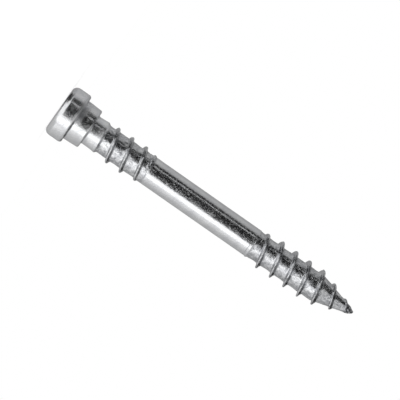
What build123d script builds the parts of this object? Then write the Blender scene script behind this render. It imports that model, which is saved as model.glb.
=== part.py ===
from build123d import *
from math import atan2, degrees
import os

# A deck screw of one piece: a flat round head with a star recess, a collar, a short
# neck, an upper thread that draws the board down, a bare shank, and a lower thread
# of the same pitch that runs down a gimlet point.
# It stands on its head. The origin is the centre of the head's top face and +Z runs
# along the axis to the tip. All sizes are in millimetres.

# Head
head_diameter = 7.94
head_height = 2.84
head_top_round = 0.78
head_seat_round = 0.36

# Star recess in the head's top face: across its lobes, and across its flutes' waist
recess_diameter = 3.95
recess_waist_diameter = 2.85
recess_flute_radius = 0.94
recess_lobe_round = 0.2
recess_wall_depth = 1.8
recess_floor_depth = 0.4
recess_lobes = 6

# Collar, with a slight draft
collar_seat_diameter = 6.38
collar_end_diameter = 6.18
collar_length = 2.41
collar_edge_chamfer = 0.2
collar_foot_chamfer = 0.18

# Neck between the collar and the upper thread
neck_diameter = 4.57
neck_length = 1.95
neck_step_length = 0.35

# Upper thread, with the distance from the neck to full height, the side of the screw
# where it gets there, and the length of the run-out on the shank
upper_root_diameter = 4.17
upper_crest_diameter = 5.32
upper_root_length = 8.2
upper_full_start = 1.75
upper_full_angle = 241.0
upper_run_in_turns = 1.3
upper_run_out_turns = 1.4
upper_run_out_length = 1.2

# Bare shank
shank_diameter = 4.31
shank_length = 18.1
shank_step_length = 0.35

# Lower thread
lower_root_diameter = 3.93
lower_crest_diameter = 5.36
lower_root_length = 11.1
lower_full_start = 2.3
lower_full_angle = 0.0
lower_run_in_turns = 1.4

# Gimlet point: a long cone, then a short blunt nose
point_length = 6.2
nose_length = 0.7
nose_diameter = 1.08
tip_diameter = 0.3
nose_ridge_height = 0.14
nose_ridge_share = 0.4

# Thread form of both threads, in a plane through the axis. The ridge is waisted, and its
# foot spreads out below the root so that it is sunk all round.
pitch = 2.36
crest_width = 0.2
waist_width = 0.44
waist_height_share = 0.4
foot_width = 1.6
foot_depth = 0.2
faded_height = 0.05

# Heights along the axis
collar_z = head_height
neck_z = collar_z + collar_length
upper_root_z = neck_z + neck_length
shank_z = upper_root_z + upper_root_length
lower_root_z = shank_z + shank_length
cone_z = lower_root_z + lower_root_length
tip_z = cone_z + point_length
nose_z = tip_z - nose_length

# Radii of the roots, and the ridge's forms as heights and shares of its widths
upper_root = upper_root_diameter / 2
lower_root = lower_root_diameter / 2
upper_form = (upper_crest_diameter / 2 - upper_root, 1)
lower_form = (lower_crest_diameter / 2 - lower_root, 1)
faded_form = (faded_height, 1)
nose_form = (nose_ridge_height, nose_ridge_share)

# Turns of each thread from the place where it reaches full height
upper_full_z = upper_root_z + upper_full_start
upper_fade_z = shank_z + upper_run_out_length - upper_run_out_turns * pitch
upper_full_turns = (upper_fade_z - upper_full_z) / pitch
lower_full_z = lower_root_z + lower_full_start
lower_full_turns = (cone_z - lower_full_z) / pitch
point_turns = (nose_z - cone_z) / pitch


def ridge_section(on_root, height, share):
    """The ridge in a plane through the axis: x points outward, y along the axis."""
    outward = Vector(on_root.X, on_root.Y, 0)
    across = outward.cross(Vector(0, 0, 1))
    crest = share * crest_width / 2
    waist = share * waist_width / 2
    foot = share * foot_width / 2
    depth = share * foot_depth
    waist_height = waist_height_share * height
    with BuildSketch(Plane(on_root, x_dir=outward, z_dir=across)) as section:
        with BuildLine():
            Polyline(
                (height, -crest),
                (height, crest),
                (waist_height, waist),
                (-depth, foot),
                (-depth, -foot),
                (waist_height, -waist),
                close=True,
            )
        make_face()
    return section.sketch


def ridge_span(turns, start_radius, end_radius, start_form, end_form):
    """A ridge that climbs a helix from z = 0 on +X and changes from one form to the other."""
    rise = turns * pitch
    taper = degrees(atan2(end_radius - start_radius, rise))
    with BuildPart() as span:
        with BuildLine():
            helix = Helix(pitch, rise, start_radius, cone_angle=taper)
        start = ridge_section(helix @ 0, *start_form)
        end = ridge_section(helix @ 1, *end_form)
        sweep([start, end], path=helix, multisection=True, is_frenet=True)
    return span.part


def along(full_z, full_angle, turns):
    """The place on a thread's helix some turns past the start of its full height."""
    return Location((0, 0, full_z + turns * pitch), (0, 0, 1), full_angle + turns * 360)


def rims(height):
    """The screw's round edges at a height, the smallest first."""
    round_edges = screw.edges().filter_by(GeomType.CIRCLE)
    return round_edges.filter_by_position(Axis.Z, height, height).sort_by(SortBy.RADIUS)


upper_run_in = ridge_span(upper_run_in_turns, upper_root, upper_root, faded_form, upper_form)
upper_full = ridge_span(upper_full_turns, upper_root, upper_root, upper_form, upper_form)
upper_run_out = ridge_span(upper_run_out_turns, upper_root, upper_root, upper_form, faded_form)
lower_run_in = ridge_span(lower_run_in_turns, lower_root, lower_root, faded_form, lower_form)
lower_full = ridge_span(lower_full_turns, lower_root, lower_root, lower_form, lower_form)
point_ridge = ridge_span(point_turns, lower_root, nose_diameter / 2, lower_form, nose_form)

with BuildPart() as screw:
    # The headed blank, without its threads
    with BuildSketch(Plane.XZ):
        with BuildLine():
            Polyline(
                (0, 0),
                (head_diameter / 2, 0),
                (head_diameter / 2, collar_z),
                (collar_seat_diameter / 2, collar_z),
                (collar_end_diameter / 2, neck_z),
                (neck_diameter / 2, neck_z),
                (neck_diameter / 2, upper_root_z),
                (upper_root, upper_root_z + neck_step_length),
                (upper_root, shank_z - shank_step_length),
                (shank_diameter / 2, shank_z),
                (shank_diameter / 2, lower_root_z),
                (lower_root, lower_root_z + shank_step_length),
                (lower_root, cone_z),
                (nose_diameter / 2, nose_z),
                (tip_diameter / 2, tip_z),
                (0, tip_z),
                close=True,
            )
        make_face()
    revolve(axis=Axis.Z)
    fillet(rims(0)[-1], head_top_round)
    fillet(rims(collar_z)[-1], head_seat_round)
    chamfer(rims(neck_z)[-1], collar_edge_chamfer)
    chamfer(rims(neck_z)[0], collar_foot_chamfer)

    # The rolled threads
    with Locations(along(upper_full_z, upper_full_angle, -upper_run_in_turns)):
        add(upper_run_in)
    with Locations(along(upper_full_z, upper_full_angle, 0)):
        add(upper_full)
    with Locations(along(upper_full_z, upper_full_angle, upper_full_turns)):
        add(upper_run_out)
    with Locations(along(lower_full_z, lower_full_angle, -lower_run_in_turns)):
        add(lower_run_in)
    with Locations(along(lower_full_z, lower_full_angle, 0)):
        add(lower_full)
    with Locations(along(lower_full_z, lower_full_angle, lower_full_turns)):
        add(point_ridge)

    # The star recess: straight walls, and a floor that dips to a cone
    with BuildSketch(Plane.XY) as star:
        Circle(recess_diameter / 2)
        flute_ring = recess_waist_diameter / 2 + recess_flute_radius
        with PolarLocations(flute_ring, recess_lobes, start_angle=180 / recess_lobes):
            Circle(recess_flute_radius, mode=Mode.SUBTRACT)
        fillet(star.vertices(), recess_lobe_round)
    extrude(amount=recess_wall_depth, mode=Mode.SUBTRACT)
    with BuildSketch(Plane.XZ):
        with BuildLine():
            Polyline(
                (0, recess_wall_depth),
                (recess_waist_diameter / 2, recess_wall_depth),
                (0, recess_wall_depth + recess_floor_depth),
                close=True,
            )
        make_face()
    revolve(axis=Axis.Z, mode=Mode.SUBTRACT)

screw.part.label = "deck_screw"
os.makedirs("parts", exist_ok=True)
export_step(screw.part, "parts/deck_screw.step")
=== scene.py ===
import math

import bmesh
import bpy
from mathutils import Matrix, Vector, noise


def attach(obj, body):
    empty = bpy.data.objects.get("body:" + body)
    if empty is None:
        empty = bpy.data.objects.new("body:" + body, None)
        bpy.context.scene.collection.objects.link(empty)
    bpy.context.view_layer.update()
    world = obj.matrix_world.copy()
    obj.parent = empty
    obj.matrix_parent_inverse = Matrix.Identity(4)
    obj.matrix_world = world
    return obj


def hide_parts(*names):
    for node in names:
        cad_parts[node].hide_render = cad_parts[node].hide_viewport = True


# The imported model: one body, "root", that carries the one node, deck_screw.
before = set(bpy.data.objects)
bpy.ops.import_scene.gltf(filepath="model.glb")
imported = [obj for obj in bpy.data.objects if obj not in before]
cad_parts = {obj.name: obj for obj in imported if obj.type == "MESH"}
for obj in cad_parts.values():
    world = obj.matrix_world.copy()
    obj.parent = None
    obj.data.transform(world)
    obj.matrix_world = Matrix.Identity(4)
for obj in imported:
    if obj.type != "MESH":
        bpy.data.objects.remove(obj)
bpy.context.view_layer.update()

# Camera. The photograph looks at the screw's side, level with its head, from far enough
# away that the sides stay nearly parallel. The picture is turned about the line of sight,
# so that the head is at the upper left and the tip at the lower right.
photo_distance = 0.420
photo_height = 0.002
photo_centre = Vector((-0.000728, 0, 0.02375))
photo_field = 0.0568
photo_turn = math.radians(34.91)
sensor = 36.0

camera_data = bpy.data.cameras.new("photo_camera")
camera = bpy.data.objects.new("photo_camera", camera_data)
bpy.context.scene.collection.objects.link(camera)
bpy.context.scene.camera = camera
camera.location = (photo_centre.x, -photo_distance, photo_height)
sight = (photo_centre - camera.location).normalized()
to_right = Vector((-math.sin(photo_turn), 0, math.cos(photo_turn)))
to_right = (to_right - to_right.dot(sight) * sight).normalized()
upward = to_right.cross(sight)
camera.rotation_mode = "QUATERNION"
camera.rotation_quaternion = Matrix((to_right, upward, -sight)).transposed().to_quaternion()
camera_data.sensor_width = sensor
camera_data.lens = sensor * (photo_centre - camera.location).length / photo_field
camera_data.clip_start = 0.01
camera_data.clip_end = 10

# The screw's blank, down to the neck: a headed wire with a flat round head, a drafted
# collar and a star recess punched into the head's top face. It is one piece with the
# threads, so its rings are drawn on from the recess's floor outwards and then along the
# axis. All lengths below are millimetres until the whole piece is scaled.
columns = 96
head_radius = 3.97
head_height = 2.84
head_top_round = 0.78
head_top_round_length = 0.92
head_seat_round = 0.36
head_seat_round_length = 0.46
collar_seat_radius = 3.21
collar_end_radius = 3.11
collar_end = 5.25
collar_edge_round = 0.26
collar_root_round = 0.06
neck_radius = 2.29
neck_root_round = 0.18
lobe_radius = 1.975
waist_radius = 1.425
flute_radius = 0.94
flute_ring = waist_radius + flute_radius
recess_lobes = 6
recess_depth = 1.8
recess_floor = 2.2
recess_mouth_round = 0.07
floor_disc_radius = 0.2
floor_slope = 0.2

blank = bmesh.new()


def star_radius(angle):
    """The star recess's wall seen along the axis: round flutes pressed into a circle."""
    sector = 2 * math.pi / recess_lobes
    from_flute = (angle % sector) - sector / 2
    across = flute_ring * math.sin(from_flute)
    if abs(across) >= flute_radius:
        return lobe_radius
    wall = flute_ring * math.cos(from_flute) - math.sqrt(flute_radius**2 - across**2)
    softness = 14
    return -math.log(math.exp(-softness * wall) + math.exp(-softness * lobe_radius)) / softness


def next_ring(bm, edges, radius_at, height):
    """Draws a ring of edges on to a new ring and gives back the new ring's edges."""
    drawn = bmesh.ops.extrude_edge_only(bm, edges=edges)["geom"]
    for vert in drawn:
        if isinstance(vert, bmesh.types.BMVert):
            angle = math.atan2(vert.co.y, vert.co.x)
            radius = radius_at(angle)
            vert.co = (radius * math.cos(angle), radius * math.sin(angle), height)
    return [edge for edge in drawn if isinstance(edge, bmesh.types.BMEdge)]


def plain(radius):
    """A round ring."""
    return lambda angle: radius


def starred(share, outward=0.0):
    """A ring in the recess: share of the star's wall, moved outward."""
    return lambda angle: share * star_radius(angle) + outward


def corner(radius, height, rounding, start, end, steps):
    """Rings round a corner: its circle's centre and radius, and the angles it turns through."""
    rings = []
    for step in range(steps + 1):
        turn = math.radians(start + (end - start) * step / steps)
        reach = radius + rounding * math.cos(turn)
        rings.append((plain(reach), height + rounding * math.sin(turn)))
    return rings


floor_disc = bmesh.ops.create_circle(
    blank, cap_ends=True, cap_tris=True, radius=floor_disc_radius, segments=columns
)
for vert in floor_disc["verts"]:
    angle = math.atan2(vert.co.y, vert.co.x)
    reach = 0.1 * star_radius(angle) if vert.co.length > floor_disc_radius / 2 else 0
    vert.co = (reach * math.cos(angle), reach * math.sin(angle), recess_floor - floor_slope * reach)
ring = [edge for edge in blank.edges if edge.is_boundary]

# The recess's rings: its dished floor, its wall and its mouth, then the head's top face
stations = []
for share in (0.4, 0.7, 0.93):
    stations.append((starred(share), recess_floor - (recess_floor - recess_depth) * share))
stations += [(starred(1.0, -0.05), recess_depth - 0.02), (starred(1.0), recess_depth - 0.08)]
stations += [(starred(1.0), recess_depth * share) for share in (0.75, 0.5, 0.25)]
stations += [
    (starred(1.0), recess_mouth_round),
    (starred(1.0, 0.3 * recess_mouth_round), 0.3 * recess_mouth_round),
    (starred(1.0, recess_mouth_round), 0.0),
    (starred(0.6, 1.0), 0.0),
    (plain(2.6), 0.0),
]

# The head's rings: the round at its top edge, its side and the round at its seat
top_steps = 14
for step in range(top_steps + 1):
    turn = math.radians(90 * step / top_steps)
    reach = head_radius - head_top_round * (1 - math.sin(turn))
    stations.append((plain(reach), head_top_round_length * (1 - math.cos(turn))))
stations += [(plain(head_radius), height) for height in (1.1, 1.4, 1.8, 2.2)]
seat_steps = 10
for step in range(seat_steps + 1):
    turn = math.radians(90 * step / seat_steps)
    reach = head_radius - head_seat_round * (1 - math.cos(turn))
    stations.append((plain(reach), head_height - head_seat_round_length * (1 - math.sin(turn))))
stations += [(plain(3.45), head_height)]

# The collar's rings, those of its drafted side by radius and height, and the neck's root
stations += corner(
    collar_seat_radius + collar_root_round,
    head_height + collar_root_round,
    collar_root_round,
    -90,
    -180,
    5,
)
for radius, height in ((3.207, 2.96), (3.205, 3.03), (3.19, 3.4), (3.17, 3.9), (3.14, 4.4)):
    stations.append((plain(radius), height))
stations += corner(
    collar_end_radius - collar_edge_round,
    collar_end - collar_edge_round,
    collar_edge_round,
    0,
    90,
    8,
)
stations += [(plain(2.65), collar_end)]
stations += corner(
    neck_radius + neck_root_round,
    collar_end + neck_root_round,
    neck_root_round,
    -90,
    -180,
    5,
)
for radius_at, height in stations:
    ring = next_ring(blank, ring, radius_at, height)

# The threaded stem: neck, upper thread, bare shank, lower thread and gimlet point, rolled
# from the same wire between flat dies. The dies press the roots in and push the crests
# up, so one strip of surface a pitch wide is wound along the stem, and each point of it
# is then moved in or out to the form that the dies leave there.
pitch = 2.36
stem_start = 5.75
tip_end = 50.8
upper_crest_at = 7.38
lower_crest_at = 35.8
turns = 21
draft_radius = 2.0

# Distances of the strip's rows from its middle, where the crest will be
row_steps = [0.03, 0.06, 0.09, 0.12, 0.15, 0.18, 0.21, 0.25, 0.3, 0.35, 0.4, 0.46, 0.55, 0.7, 0.93]
row_steps.append(pitch / 2)

strip = bmesh.new()
rows = []
for across in [-step for step in reversed(row_steps)] + [0] + row_steps:
    rows.append(strip.verts.new((draft_radius, 0, across + upper_crest_at - pitch)))
for lower, upper in zip(rows, rows[1:]):
    strip.edges.new((lower, upper))
bmesh.ops.spin(
    strip,
    geom=strip.verts[:] + strip.edges[:],
    cent=(0, 0, 0),
    axis=(0, 0, 1),
    dvec=(0, 0, pitch / columns),
    angle=2 * math.pi,
    steps=columns,
)


def face_order(face):
    """A face's place, by the numbers of its points."""
    numbers = [vert.index for vert in face.verts]
    return min(numbers) + 0.000001 * sum(numbers)


def edge_order(edge):
    """An edge's place, by the numbers of its points."""
    one, other = edge.verts
    return one.index + other.index + 0.001 * abs(one.index - other.index)


# The spin leaves its faces and edges in no set order, and the cuts below round off by that
# order, so they are put in the order of their points.
strip.verts.index_update()
strip.faces.sort(key=face_order)
strip.edges.sort(key=edge_order)

# One turn is copied up the stem, and the turns are joined where they meet.
one_turn = strip.verts[:] + strip.edges[:] + strip.faces[:]
for turn in range(1, turns):
    copied = bmesh.ops.duplicate(strip, geom=one_turn)["geom"]
    copied_verts = [part for part in copied if isinstance(part, bmesh.types.BMVert)]
    bmesh.ops.translate(strip, verts=copied_verts, vec=(0, 0, turn * pitch))
bmesh.ops.remove_doubles(strip, verts=strip.verts, dist=0.0005)

# Rings are cut where the stem's diameter changes, so that each step has a clean edge. The
# step under the neck leans a little, as the dies left it, and is slacker on the -X side.
neck_step = 7.2
neck_step_end = 7.5
neck_step_far_end = 7.62
neck_step_lean = 0.12
neck_flare = 0.09
shank_start = 15.4
shank_end = 33.5
shank_step = 0.32
shank_foot = 2.06
shank_ease = 1.6
shank_ease_radius = 2.1
cone_start = 44.6
nose_start = 50.1
nose_radius = 0.54
tip_radius = 0.15
upper_root = 2.085
shank_radius = 2.155
lower_root = 1.965

# On the point the thread's turns lie a little further apart, so the strip is wound short
# there and stretched.
point_stretch = 1.06


def unstretched(height):
    """The height on the strip, before it is stretched, of a height on the point."""
    return cone_start + (height - cone_start) / point_stretch


for height, lean in (
    (neck_step, neck_step_lean),
    (neck_step_end, neck_step_lean),
    (shank_start - shank_step, 0),
    (shank_start, 0),
    (shank_end, 0),
    (shank_end + 0.06, 0),
    (shank_end + shank_step, 0),
    (cone_start, 0),
    (unstretched(nose_start), 0),
):
    bmesh.ops.bisect_plane(
        strip,
        geom=strip.verts[:] + strip.edges[:] + strip.faces[:],
        plane_co=(0, 0, height),
        plane_no=(-lean, 0, 1),
    )
for height, direction in ((stem_start, -1), (unstretched(tip_end), 1)):
    bmesh.ops.bisect_plane(
        strip,
        geom=strip.verts[:] + strip.edges[:] + strip.faces[:],
        plane_co=(0, 0, height),
        plane_no=(0, 0, direction),
        clear_outer=True,
    )
bmesh.ops.remove_doubles(strip, verts=strip.verts, dist=0.002)  # slivers beside the cuts

# The ridges' heights over the roots, and their outline: millimetres across from the crest,
# less than 0 towards the head, and share of the height
upper_ridge = 0.575
lower_ridge = 0.715
nose_ridge = 0.14
ridge_outline = (
    (-0.8, 0.0),
    (-0.28, 0.07),
    (-0.185, 0.4),
    (-0.14, 0.84),
    (-0.045, 1.0),
    (0.05, 0.98),
    (0.11, 0.87),
    (0.19, 0.44),
    (0.29, 0.12),
    (0.37, 0.05),
    (0.9, 0.0),
)
upper_width_to_head = 1.05
upper_width_to_tip = 1.2
lower_width = 1.15
point_narrowing = 0.4
faded_sink = 0.06
blend = 0.045

# Where the ridges swell and fade, in turns from each thread's first crest on +X
upper_full = 241 / 360
upper_run_in = 1.3
upper_run_out = 1.4
upper_run_on_shank = 1.3
upper_fade = (shank_start + upper_run_on_shank - upper_crest_at) / pitch
lower_run_in = 1.4


def smooth(low, high, value):
    """Rises from 0 at low to 1 at high."""
    share = min(1.0, max(0.0, (value - low) / (high - low)))
    return share * share * (3 - 2 * share)


def band(low, full, fading, high, value):
    """Rises from 0 at low to 1 at full, and falls from fading to 0 at high."""
    return smooth(low, full, value) * (1 - smooth(fading, high, value))


def between(low, high, value, start, end):
    """A straight change from start to end as value goes from low to high."""
    share = min(1.0, max(0.0, (value - low) / (high - low)))
    return start + (end - start) * share


def core_radius(x, height):
    """The stem's radius without its ridges."""
    leaning = height - neck_step_lean * x
    step_end = between(-1, 0.5, x, neck_step_far_end, neck_step_end)
    if leaning < neck_step:
        return neck_radius + neck_flare * between(stem_start, neck_step, leaning, 0, 1) ** 2
    if leaning < step_end:
        return between(neck_step, step_end, leaning, neck_radius + neck_flare, upper_root)
    if height < shank_start:
        return between(shank_start - shank_step, shank_start, height, upper_root, shank_radius)
    if height < shank_end + 0.001:  # the ring cut at shank_end belongs to the shank
        return shank_radius
    if height < cone_start:
        stepped = between(shank_end, shank_end + shank_step, height, shank_radius, shank_foot)
        eased = between(shank_end, shank_end + shank_ease, height, shank_ease_radius, lower_root)
        return min(stepped, eased)
    if height < nose_start:
        return between(cone_start, nose_start, height, lower_root, nose_radius)
    return between(nose_start, tip_end, height, nose_radius, tip_radius)


def on_thread(angle, height, crest_at):
    """Turns along a thread from its first crest on +X, and the distance across to its crest."""
    wound = (height - crest_at) / pitch - angle / (2 * math.pi)
    nearest = round(wound)
    return nearest + angle / (2 * math.pi), (wound - nearest) * pitch


def ridge_form(across, height, width):
    """A rolled ridge: a crest that leans to the head, and two steep flanks with a low skirt."""
    for (low, start), (high, end) in zip(ridge_outline, ridge_outline[1:]):
        if low <= across / width < high:
            return height * between(low, high, across / width, start, end)
    return 0.0


crest_radius = 2.6
crest_tear_length = 0.3
crest_tear_height = 0.09


def crest_tear(angle, height, across):
    """How far the crest's edge towards the head is torn."""
    place = crest_radius * Vector((math.cos(angle), math.sin(angle), height / crest_radius))
    edge = band(-0.17, -0.11, -0.05, 0.03, across)
    return crest_tear_height * edge * noise.noise(place / crest_tear_length)


def larger(one, other):
    """The larger of two radii, with the corner between them blended."""
    return (one + other + math.hypot(one - other, blend)) / 2


def upper_ridge_at(angle, height):
    """The upper thread's height over its root at a place on the stem."""
    along, across = on_thread(angle, height, upper_crest_at)
    swell = between(upper_full - upper_run_in, upper_full, along, 0, 1)
    swell *= between(upper_fade - upper_run_out, upper_fade, along, 1, 0) ** 1.5
    width = upper_width_to_head if across < 0 else upper_width_to_tip
    ridge = ridge_form(across, upper_ridge * swell, width) - faded_sink * (1 - swell)
    return ridge + swell * crest_tear(angle, height, across)


def lower_ridge_at(angle, height, wound_height):
    """The lower thread's height over its root at a place on the stem or the point."""
    along, across = on_thread(angle, wound_height, lower_crest_at)
    swell = between(-lower_run_in, 0, along, 0, 1)
    point = between(cone_start, nose_start, height, 0, 1)
    full = lower_ridge + (nose_ridge - lower_ridge) * point
    full *= 1 - smooth(nose_start - 0.6, nose_start + 0.4, height)
    width = lower_width - point_narrowing * point
    ridge = ridge_form(across, full * swell, width) - faded_sink * (1 - swell)
    return ridge + swell * (1 - point) * crest_tear(angle, height, across)


# What the dies left uneven: low swirling waves in the roots, which are deeper in the upper
# thread, roots a little out of round on the side that the lens sees, and a crumpled nose.
# The seed makes the waves the same each time.
noise.seed_set(7)
wave_length = 0.75
wave_height = 0.042
swirl_length = 1.6 * wave_length
swirl_share = 0.5
upper_waves = 1.35
crumple_length = 0.24
crumple_height = 0.07
flat_width = 0.3
flat_depth = 0.055


def die_marks(place, height):
    """How far the dies left the surface out of its true form."""
    upper = band(neck_step, neck_step_end, shank_start - 0.4, shank_start + 0.2, height)
    rolled = upper_waves * upper + smooth(shank_end, shank_end + 0.3, height)
    swirl = noise.noise_vector(place / swirl_length) * swirl_share
    waves = rolled * wave_height * noise.noise(place / wave_length + swirl)
    from_lens = math.atan2(place.x, -place.y) / flat_width
    flat = rolled * (1 - smooth(cone_start - 1, cone_start + 1, height)) * flat_depth
    waves -= flat * from_lens * math.exp(-0.5 * from_lens**2)
    crumpled = crumple_height * smooth(nose_start - 0.9, nose_start, height)
    return waves + crumpled * noise.noise(place / crumple_length)


# Nicks in the bare shank, each by its height, its bearing from the lens, its breadth and
# its depth. The dies pushed up a shoulder where the shank starts, mostly on the -X side,
# and a burr where it ends, on the +X side.
nicks = (
    (34.1, 0, 0.22, 0.035),
    (25.98, -9.5, 0.2, 0.03),
    (20.57, -9.5, 0.14, 0.02),
    (17.56, 44.3, 0.22, 0.02),
    (21.9, 28, 0.14, 0.01),
)
shoulder_height = 15.0
shoulder_half = 0.38
shoulder_least = 0.04
shoulder_lift = 0.24
burr_past_end = 0.1
burr_half = 0.22
burr_lift = 0.12


def marks(angle, height):
    """How far the nicks, the shoulder and the burr move the surface out."""
    from_left = abs(angle - math.pi) / (0.5 * math.pi)
    moved = shoulder_least + shoulder_lift * (1 - smooth(0, 1, from_left))
    moved *= 1 - smooth(0, 1, abs(height - shoulder_height) / shoulder_half)
    from_right = min(angle, 2 * math.pi - angle) / (0.3 * math.pi)
    from_burr = abs(height - shank_end - burr_past_end) / burr_half
    moved += burr_lift * (1 - smooth(0, 1, from_right)) * (1 - smooth(0, 1, from_burr))
    for nick_height, bearing, breadth, depth in nicks:
        round_it = (angle - math.radians(270 + bearing)) * shank_radius
        moved -= depth * (1 - smooth(0, 1, math.hypot(height - nick_height, round_it) / breadth))
    return moved


# Each point is moved to its place. The lower thread doesn't start a whole number of turns
# after the upper one, so along the bare shank the strip drifts until its middle lies under
# the lower crests.
drift = (lower_crest_at - upper_crest_at) % pitch
for vert in strip.verts:
    angle = math.atan2(vert.co.y, vert.co.x) % (2 * math.pi)
    if vert.co.z < shank_end - 0.5:
        vert.co.z += drift * smooth(shank_start + 1, shank_end - 1, vert.co.z)
    wound_height = vert.co.z
    vert.co.z = max(wound_height, cone_start + (wound_height - cone_start) * point_stretch)
    height = vert.co.z
    radius = core_radius(vert.co.x, height)
    if height < (shank_start + shank_end) / 2:
        radius = larger(radius, upper_root + upper_ridge_at(angle, height))
    else:
        ridge = lower_ridge_at(angle, height, wound_height)
        radius = larger(radius, min(radius, lower_root) + ridge)
    vert.co.x = radius * math.cos(angle)
    vert.co.y = radius * math.sin(angle)
    away = Vector((math.cos(angle), math.sin(angle), 0))
    vert.co += away * (die_marks(vert.co, height) + marks(angle, height))

tip_ring = []
for edge in strip.edges:
    if edge.is_boundary and edge.verts[0].co.z > tip_end - 0.01:
        tip_ring.append(edge)
bmesh.ops.contextual_create(strip, geom=tip_ring)

# The blank and the stem are joined at the neck and become one shell.
stem_mesh = bpy.data.meshes.new("stem")
strip.to_mesh(stem_mesh)
strip.free()
blank.from_mesh(stem_mesh)
bpy.data.meshes.remove(stem_mesh)
open_edges = [edge for edge in blank.edges if edge.is_boundary]
bmesh.ops.bridge_loops(blank, edges=open_edges)
bmesh.ops.recalc_face_normals(blank, faces=blank.faces)
bmesh.ops.scale(blank, vec=(0.001, 0.001, 0.001), verts=blank.verts)

screw_mesh = bpy.data.meshes.new("rolled_screw")
blank.to_mesh(screw_mesh)
blank.free()
for face in screw_mesh.polygons:
    face.use_smooth = True
screw = bpy.data.objects.new("rolled_screw", screw_mesh)
bpy.context.scene.collection.objects.link(screw)


# Material: bright zinc plate over rolled low-carbon steel. The plating is a clear
# mirror-like grey, a little milky, and the surface under it is lightly peened by the
# barrel, so reflections are sharp enough to read and ragged at their edges. Three masks
# say where it differs. In them a side of -1 is the screw's -X side, and 1 its +X side.
def linear(hex_colour):
    """An sRGB hex colour as the linear colour that a shader takes."""
    channels = [int(hex_colour[i : i + 2], 16) / 255 for i in (1, 3, 5)]
    return [c / 12.92 if c <= 0.04045 else ((c + 0.055) / 1.055) ** 2.4 for c in channels] + [1.0]


def add_node(tree, kind, settings=None, **links):
    """Adds a node, sets its properties or sockets by name, and links sockets to it by name."""
    made = tree.nodes.new(kind)
    for name, value in (settings or {}).items():
        if name in made.inputs:
            made.inputs[name].default_value = value
        else:
            setattr(made, name, value)
    for name, source in links.items():
        tree.links.new(source, made.inputs[name.replace("_", " ")])
    return made


# The rolled mask: where the dies have rolled, the plating is duller and uneven, save on the
# crests, which rub bright. The nose and the shoulder are uneven too. On the -X side the collar
# next to the head is darkened as painted shade under the head. The recess and the head have none of
# it.
rolled = screw_mesh.attributes.new("rolled", "FLOAT", "POINT")
for vert, amount in zip(screw_mesh.vertices, rolled.data):
    height = vert.co.z * 1000
    core = min(core_radius(vert.co.x * 1000, height), shank_radius)
    above_core = math.hypot(vert.co.x, vert.co.y) * 1000 - core
    rolled_and_shade = band(neck_step, neck_step_end, shank_start - 0.2, shank_start + 0.1, height)
    rolled_and_shade += smooth(shank_end - 0.1, shank_end + 0.1, height)
    rolled_and_shade += 2 * smooth(nose_start - 0.9, nose_start, height)
    rolled_and_shade *= 1 - 0.6 * smooth(0.12, 0.4, above_core)
    rolled_and_shade += 1.5 * (1 - smooth(0.16, 0.28, abs(height - shoulder_height - 0.15)))
    # painted shade: on the -X side the collar next to the head is darkened, most under the head
    if head_height < height < collar_end:
        side = vert.co.x / vert.co.xy.length
        rolled_and_shade = 0.9 * (1 - smooth(head_height + 0.5, head_height + 0.7, height))
        rolled_and_shade *= 1 - smooth(0, 0.25, side)
    amount.value = rolled_and_shade

# The painted shade mask: painted shade in the corners at the ridges' feet, mostly
# on the side towards the tip. On the -X side it spreads out into the roots, and towards +X
# it gets fainter. Broken specks of painted shade lie along the crests, random dark flecks on
# the crumpled nose, and a broken line of painted shadow in the corner under the head.
speck_size = 0.00022
fleck_size = 0.00024
painted_shade_and_flecks = screw_mesh.attributes.new("painted_shade_and_flecks", "FLOAT", "POINT")
for vert, amount in zip(screw_mesh.vertices, painted_shade_and_flecks.data):
    height = vert.co.z * 1000
    angle = math.atan2(vert.co.y, vert.co.x) % (2 * math.pi)
    if neck_step_end < height < shank_start:
        along, across = on_thread(angle, height, upper_crest_at)
        swell = 0.75 * smooth(upper_full - upper_run_in, upper_full, along)
    elif height > shank_end:
        along, across = on_thread(angle, min(height, unstretched(height)), lower_crest_at)
        swell = smooth(-lower_run_in, -0.4, along)
    else:
        across, swell = 0.0, 0.0
    side = math.cos(angle)
    specks = noise.noise(vert.co / speck_size)

    tip_edge = 0.27 - 0.1 * band(-0.15, 0.05, 0.3, 0.55, side)
    tip_corner = band(0.1, 0.17, tip_edge, tip_edge + 0.09, across)
    fainter_to_plus_x = 0.2 * smooth(-0.2, 0.1, side)
    fainter_to_plus_x += 0.25 * smooth(0.1, 0.4, side) + 0.4 * smooth(0.55, 0.9, side)
    tip_corner *= 1 - fainter_to_plus_x
    head_corner = 0.6 * band(0.12, 0.15, 0.19, 0.25, -across) * smooth(0.1, 0.5, side)
    crest = band(-0.14, -0.08, 0.06, 0.1, across)
    crest *= max(0.7 * (1 - smooth(-0.25, 0.05, side)), 0.6 * smooth(0.05, 0.3, specks))
    spread = 0.6 * band(0.1, 0.17, 0.5, 0.8, across) * band(-0.6, -0.4, -0.25, -0.05, side)

    # painted shade in the ridges' corners and along the crests, fainter towards +X
    painted = swell * max(tip_corner, head_corner, crest, spread)
    painted *= 0.15 + 0.85 * smooth(-0.8, -0.55, side)
    painted *= 1 - smooth(nose_start - 1, nose_start, height)
    flecks = smooth(-0.25, 0.05, noise.noise(vert.co / fleck_size))
    painted += 0.8 * flecks * smooth(nose_start - 0.9, nose_start - 0.2, height)
    # painted shadow: a broken dark line in the corner under the head
    if recess_floor + 0.01 < height < 3.4:
        corner_line = band(-0.24, -0.14, 0.03, 0.1, height - head_height)
        painted = corner_line * smooth(0, 0.2, side) * smooth(-0.3, 0.2, specks)
    amount.value = painted

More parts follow.
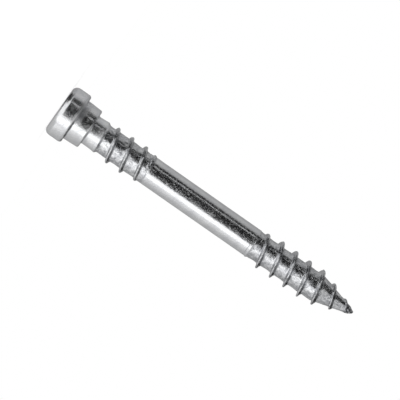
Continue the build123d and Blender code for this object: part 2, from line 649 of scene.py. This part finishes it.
# The unpeened mask: the barrel's peening doesn't reach into the corner under the head, so
# the head's seat edge and the collar's start stay dull on the -X side, and the neck a
# little.
unpeened = screw_mesh.attributes.new("unpeened", "FLOAT", "POINT")
for vert, amount in zip(screw_mesh.vertices, unpeened.data):
    height = vert.co.z * 1000
    if recess_floor + 0.01 < height < neck_step + 0.1:
        side = vert.co.x / vert.co.xy.length
        under_head = band(-0.62, -0.45, 0.45, 0.95, height - head_height)
        on_neck = 0.25 * smooth(collar_end - 0.1, collar_end, height)
        amount.value = max(under_head, on_neck) * (1 - smooth(0, 0.25, side))

# Sizes and depths of the finish's patterns, in metres. On the real screw the peening and
# the pits are finer. They are drawn as coarse as the photograph's pixels show them.
peen_size = 0.00022
peen_depth = 0.0000148
pit_size = 0.00013
pit_depth = 0.0000085
swirl_size = 0.0005
swirl_depth = 0.000036
worn_size = 0.0005
mottle_size = 0.0012
unpeened_roughness = 0.2

zinc = bpy.data.materials.new("bright_zinc_plated_steel")
zinc.use_nodes = True
tree = zinc.node_tree
shader = tree.nodes["Principled BSDF"]
shader.inputs["Metallic"].default_value = 1.0
place = add_node(tree, "ShaderNodeTexCoord")
rolled_and_shade_share = add_node(tree, "ShaderNodeAttribute", {"attribute_name": "rolled"})
painted_shade_and_flecks_share = add_node(tree, "ShaderNodeAttribute", {"attribute_name": "painted_shade_and_flecks"})
unpeened_share = add_node(tree, "ShaderNodeAttribute", {"attribute_name": "unpeened"})

# Its colour: a slightly mottled plate, worn in patches where the dies rolled, with painted
# shade on the collar under the head and the painted shade mask over it
mottle = add_node(
    tree,
    "ShaderNodeTexNoise",
    {"Scale": 1 / mottle_size, "Detail": 3},
    Vector=place.outputs["Object"],
)
plate = add_node(tree, "ShaderNodeValToRGB", Fac=mottle.outputs["Fac"])
plate.color_ramp.elements[0].position = 0.3
plate.color_ramp.elements[0].color = linear("#E4E5E8")
plate.color_ramp.elements[1].position = 0.7
plate.color_ramp.elements[1].color = linear("#F1F2F3")
worn = add_node(
    tree,
    "ShaderNodeTexNoise",
    {"Scale": 1 / worn_size, "Detail": 4, "Distortion": 1.0},
    Vector=place.outputs["Object"],
)
# worn plate, also used as the painted shade on the collar under the head
worn_and_shaded_plate = add_node(tree, "ShaderNodeValToRGB", Fac=worn.outputs["Fac"])
worn_and_shaded_plate.color_ramp.elements[0].position = 0.36
worn_and_shaded_plate.color_ramp.elements[0].color = linear("#C0C1C3")
worn_and_shaded_plate.color_ramp.elements[1].position = 0.64
worn_and_shaded_plate.color_ramp.elements[1].color = linear("#FFFFFF")
colour = add_node(
    tree,
    "ShaderNodeMix",
    {"data_type": "RGBA", "blend_type": "MULTIPLY"},
    Factor=rolled_and_shade_share.outputs["Fac"],
)
tree.links.new(plate.outputs["Color"], colour.inputs["A"])
tree.links.new(worn_and_shaded_plate.outputs["Color"], colour.inputs["B"])
# painted shade: the plate is darkened towards #606163 where the painted shade mask lies
shaded = add_node(
    tree,
    "ShaderNodeMix",
    {"data_type": "RGBA", "blend_type": "MULTIPLY"},
    Factor=painted_shade_and_flecks_share.outputs["Fac"],
)
tree.links.new(colour.outputs["Result"], shaded.inputs["A"])
shaded.inputs["B"].default_value = linear("#606163")
tree.links.new(shaded.outputs["Result"], shader.inputs["Base Color"])

# Its roughness: the plate's milkiness, and more where it is unpeened
milky = add_node(
    tree,
    "ShaderNodeMapRange",
    {"From Min": 0.3, "From Max": 0.7, "To Min": 0.13, "To Max": 0.2},
    Value=mottle.outputs["Fac"],
)
dulled = add_node(tree, "ShaderNodeMath", {"operation": "MULTIPLY_ADD"})
tree.links.new(unpeened_share.outputs["Fac"], dulled.inputs[0])
dulled.inputs[1].default_value = unpeened_roughness
tree.links.new(milky.outputs["Result"], dulled.inputs[2])
tree.links.new(dulled.outputs["Value"], shader.inputs["Roughness"])

# Its relief: the barrel's peening, small pits, and the dies' swirls where they rolled
peen = add_node(
    tree,
    "ShaderNodeTexNoise",
    {"Scale": 1 / peen_size, "Detail": 2},
    Vector=place.outputs["Object"],
)
peened = add_node(
    tree,
    "ShaderNodeBump",
    {"Strength": 1.0, "Distance": peen_depth},
    Height=peen.outputs["Fac"],
)
pits = add_node(
    tree,
    "ShaderNodeTexNoise",
    {"Scale": 1 / pit_size, "Detail": 1},
    Vector=place.outputs["Object"],
)
pit_floor = add_node(
    tree,
    "ShaderNodeMapRange",
    {"From Min": 0.58, "From Max": 0.72, "To Min": 1.0, "To Max": 0.0},
    Value=pits.outputs["Fac"],
)
pitted = add_node(
    tree,
    "ShaderNodeBump",
    {"Strength": 1.0, "Distance": pit_depth},
    Height=pit_floor.outputs["Result"],
    Normal=peened.outputs["Normal"],
)
swirl = add_node(
    tree,
    "ShaderNodeTexNoise",
    {"Scale": 1 / swirl_size, "Detail": 3, "Distortion": 1.2},
    Vector=place.outputs["Object"],
)
swirl_height = add_node(tree, "ShaderNodeMath", {"operation": "MULTIPLY"})
tree.links.new(swirl.outputs["Fac"], swirl_height.inputs[0])
tree.links.new(rolled_and_shade_share.outputs["Fac"], swirl_height.inputs[1])
swirled = add_node(
    tree,
    "ShaderNodeBump",
    {"Strength": 1.0, "Distance": swirl_depth},
    Height=swirl_height.outputs["Value"],
    Normal=pitted.outputs["Normal"],
)
tree.links.new(swirled.outputs["Normal"], shader.inputs["Normal"])
screw_mesh.materials.append(zinc)

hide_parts("deck_screw")
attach(screw, "root")

# Floor: a sheet of white paper just under the head. A faint glow lets the camera see it as
# white as the room wherever the screw's shadow doesn't fall.
paper_drop = 0.00002
paper = bmesh.new()
bmesh.ops.create_grid(paper, x_segments=1, y_segments=1, size=1.5)
bmesh.ops.translate(paper, verts=paper.verts, vec=(0, 0, -paper_drop))
paper_mesh = bpy.data.meshes.new("paper_floor")
paper.to_mesh(paper_mesh)
paper.free()
paper_floor = bpy.data.objects.new("paper_floor", paper_mesh)
bpy.context.scene.collection.objects.link(paper_floor)
white_paper = bpy.data.materials.new("white_paper")
white_paper.use_nodes = True
paper_shader = white_paper.node_tree.nodes["Principled BSDF"]
paper_shader.inputs["Base Color"].default_value = linear("#FFFFFF")
paper_shader.inputs["Roughness"].default_value = 0.9
paper_shader.inputs["Emission Color"].default_value = linear("#FFFFFF")
paper_shader.inputs["Emission Strength"].default_value = 0.06
paper_mesh.materials.append(white_paper)
paper_floor.visible_glossy = False

# Room: white all round, as the photograph's background is. The metal shows it too,
# wherever no card stands in front of it.
world = bpy.data.worlds.new("white_room")
bpy.context.scene.world = world
world.use_nodes = True
world.node_tree.nodes["Background"].inputs["Color"].default_value = linear("#FFFFFF")
world.node_tree.nodes["Background"].inputs["Strength"].default_value = 1.0

# Cards: the studio's black, grey and white cards, which a polished screw needs to show its
# form. They stand round it at arm's length and are seen only in the metal. Each is given by
# its lowest and highest elevation, and by its shades at bearings that are counted from the
# lens towards the screw's +X side. Where two overlap, the one named first stands nearer.
card_distance = 0.6
card_gap = 0.01
card_columns = 48
card_rows = 8
cards = {
    "low_black_card": (-66, -28, ((-102, "#2C2C2C"), (-54, "#2C2C2C"))),
    "light_card_low_behind": (
        -60,
        -42,
        (
            (160, "#6E6E6E"),
            (169, "#7C7C7C"),
            (173, "#F4F4F4"),
            (183, "#F4F4F4"),
            (188, "#9C9C9C"),
            (196, "#6E6E6E"),
        ),
    ),
    "black_card_behind": (-88, -42, ((-195, "#2C2C2C"), (-102, "#2C2C2C"))),
    "low_grey_card_right": (-88, -20, ((58, "#C8C8C8"), (165, "#B4B4B4"))),
    "light_edge_by_head": (-16, -1.2, ((12, "#FFFFFF"), (20, "#FFFFFF"))),
    "light_card_by_head": (
        -16,
        -0.6,
        ((52, "#FFFFFF"), (76, "#FFFFFF"), (92, "#DCDCDC"), (122, "#BEBEBE"), (150, "#B4B4B4")),
    ),
    "pale_card_by_head": (-16, -0.6, ((-150, "#B0B0B0"), (-104, "#C2C2C2"), (-78, "#B0B0B0"))),
    "black_card_round_lens": (
        -8,
        12,
        ((-48.4, "#1C1C1C"), (-8, "#1E1E1E"), (6, "#343434"), (18, "#585858")),
    ),
    "black_card_over_lens": (
        12,
        20,
        ((-53, "#1C1C1C"), (-18, "#242424"), (-6, "#707070"), (6, "#C8C8C8"), (18, "#F0F0F0")),
    ),
    "black_card_under_lens": (
        -16,
        -8,
        ((-53, "#1C1C1C"), (-18, "#242424"), (-6, "#707070"), (6, "#C8C8C8"), (18, "#F0F0F0")),
    ),
    "narrow_black_card": (-20, 20, ((-76.5, "#202020"), (-52.4, "#202020"))),
    "high_black_card": (20, 46, ((-88, "#2C2C2C"), (-26, "#2C2C2C"))),
    "light_card_over_lens": (50, 60, ((4, "#D0D0D0"), (54, "#C0C0C0"))),
    "light_strip_over_lens": (40, 52, ((-42, "#F0F0F0"), (30, "#F0F0F0"))),
    "grey_card_over_lens": (15, 46, ((-42, "#A0A0A0"), (10, "#C4C4C4"), (60, "#A4A4A4"))),
    "black_card_high_behind": (28, 62, ((148, "#1E1E1E"), (212, "#1E1E1E"))),
    "grey_card_behind": (7, 28, ((150, "#808080"), (210, "#808080"))),
    "black_ceiling_left": (52, 88, ((-180, "#303030"), (-30, "#303030"))),
    "grey_ceiling_right": (46, 88, ((-30, "#6E6E6E"), (10, "#787878"), (180, "#787878"))),
    "grey_card_left": (
        -60,
        52,
        ((-180, "#9C9C9C"), (-135, "#A6A6A6"), (-104, "#B2B2B2"), (-76, "#9C9C9C")),
    ),
    "pale_card_right": (
        -60,
        46,
        ((56, "#ECECEC"), (78, "#D4D4D4"), (96, "#BEBEBE"), (122, "#B2B2B2"), (180, "#A6A6A6")),
    ),
}


def card_shade(name, shades):
    """A card's own even brightness, which changes with the bearing from the lens."""
    made = bpy.data.materials.new(name)
    made.use_nodes = True
    made.node_tree.nodes.clear()
    bearing = add_node(made.node_tree, "ShaderNodeUVMap", {"uv_map": "bearing"})
    axes = add_node(made.node_tree, "ShaderNodeSeparateXYZ", Vector=bearing.outputs["UV"])
    ramp = add_node(made.node_tree, "ShaderNodeValToRGB", Fac=axes.outputs["X"])
    first, last = shades[0][0], shades[-1][0]
    while len(ramp.color_ramp.elements) < len(shades):
        ramp.color_ramp.elements.new(0.5)
    for stop, (at, shade) in zip(ramp.color_ramp.elements, shades):
        stop.position = (at - first) / (last - first)
        stop.color = linear(shade)
    light = add_node(made.node_tree, "ShaderNodeEmission", Color=ramp.outputs["Color"])
    add_node(made.node_tree, "ShaderNodeOutputMaterial", Surface=light.outputs["Emission"])
    return made


for order, (name, (low, high, shades)) in enumerate(cards.items()):
    card = bmesh.new()
    bmesh.ops.create_grid(card, x_segments=card_columns, y_segments=card_rows, size=0.5)
    bearing = card.loops.layers.uv.new("bearing")
    for face in card.faces:
        for loop in face.loops:
            loop[bearing].uv = (loop.vert.co.x + 0.5, loop.vert.co.y + 0.5)
    first, last = shades[0][0], shades[-1][0]
    for vert in card.verts:
        turn = math.radians(first + (last - first) * (vert.co.x + 0.5))
        lift = math.radians(low + (high - low) * (vert.co.y + 0.5))
        outward = (math.cos(lift) * math.sin(turn), -math.cos(lift) * math.cos(turn), math.sin(lift))
        vert.co = Vector(outward)
        vert.co *= card_distance + card_gap * order
        vert.co.z += photo_centre.z
    card_mesh = bpy.data.meshes.new(name)
    card.to_mesh(card_mesh)
    card.free()
    card_object = bpy.data.objects.new(name, card_mesh)
    bpy.context.scene.collection.objects.link(card_object)
    card_mesh.materials.append(card_shade(name, shades))
    card_object.visible_camera = False
    card_object.visible_diffuse = False
    card_object.visible_shadow = False

# Lamp: one large soft box at the lens's right. It lifts the white strip along the shank
# and throws the screw's soft shadow on the paper.
soft_box_bearing = math.radians(38)
soft_box_width = 0.3
soft_box_height = 1.1
soft_box_glow = 0.4
soft_box_data = bpy.data.lights.new("soft_box", "AREA")
soft_box_data.shape = "RECTANGLE"
soft_box_data.size = soft_box_width
soft_box_data.size_y = soft_box_height
soft_box_data.energy = soft_box_glow * math.pi * soft_box_width * soft_box_height
soft_box = bpy.data.objects.new("soft_box", soft_box_data)
bpy.context.scene.collection.objects.link(soft_box)
soft_box.location = (
    card_distance * math.sin(soft_box_bearing),
    -card_distance * math.cos(soft_box_bearing),
    photo_centre.z,
)
soft_box.rotation_mode = "QUATERNION"
soft_box.rotation_quaternion = (soft_box.location - photo_centre).to_track_quat("Z", "Y")

bpy.context.scene.view_settings.view_transform = "Standard"
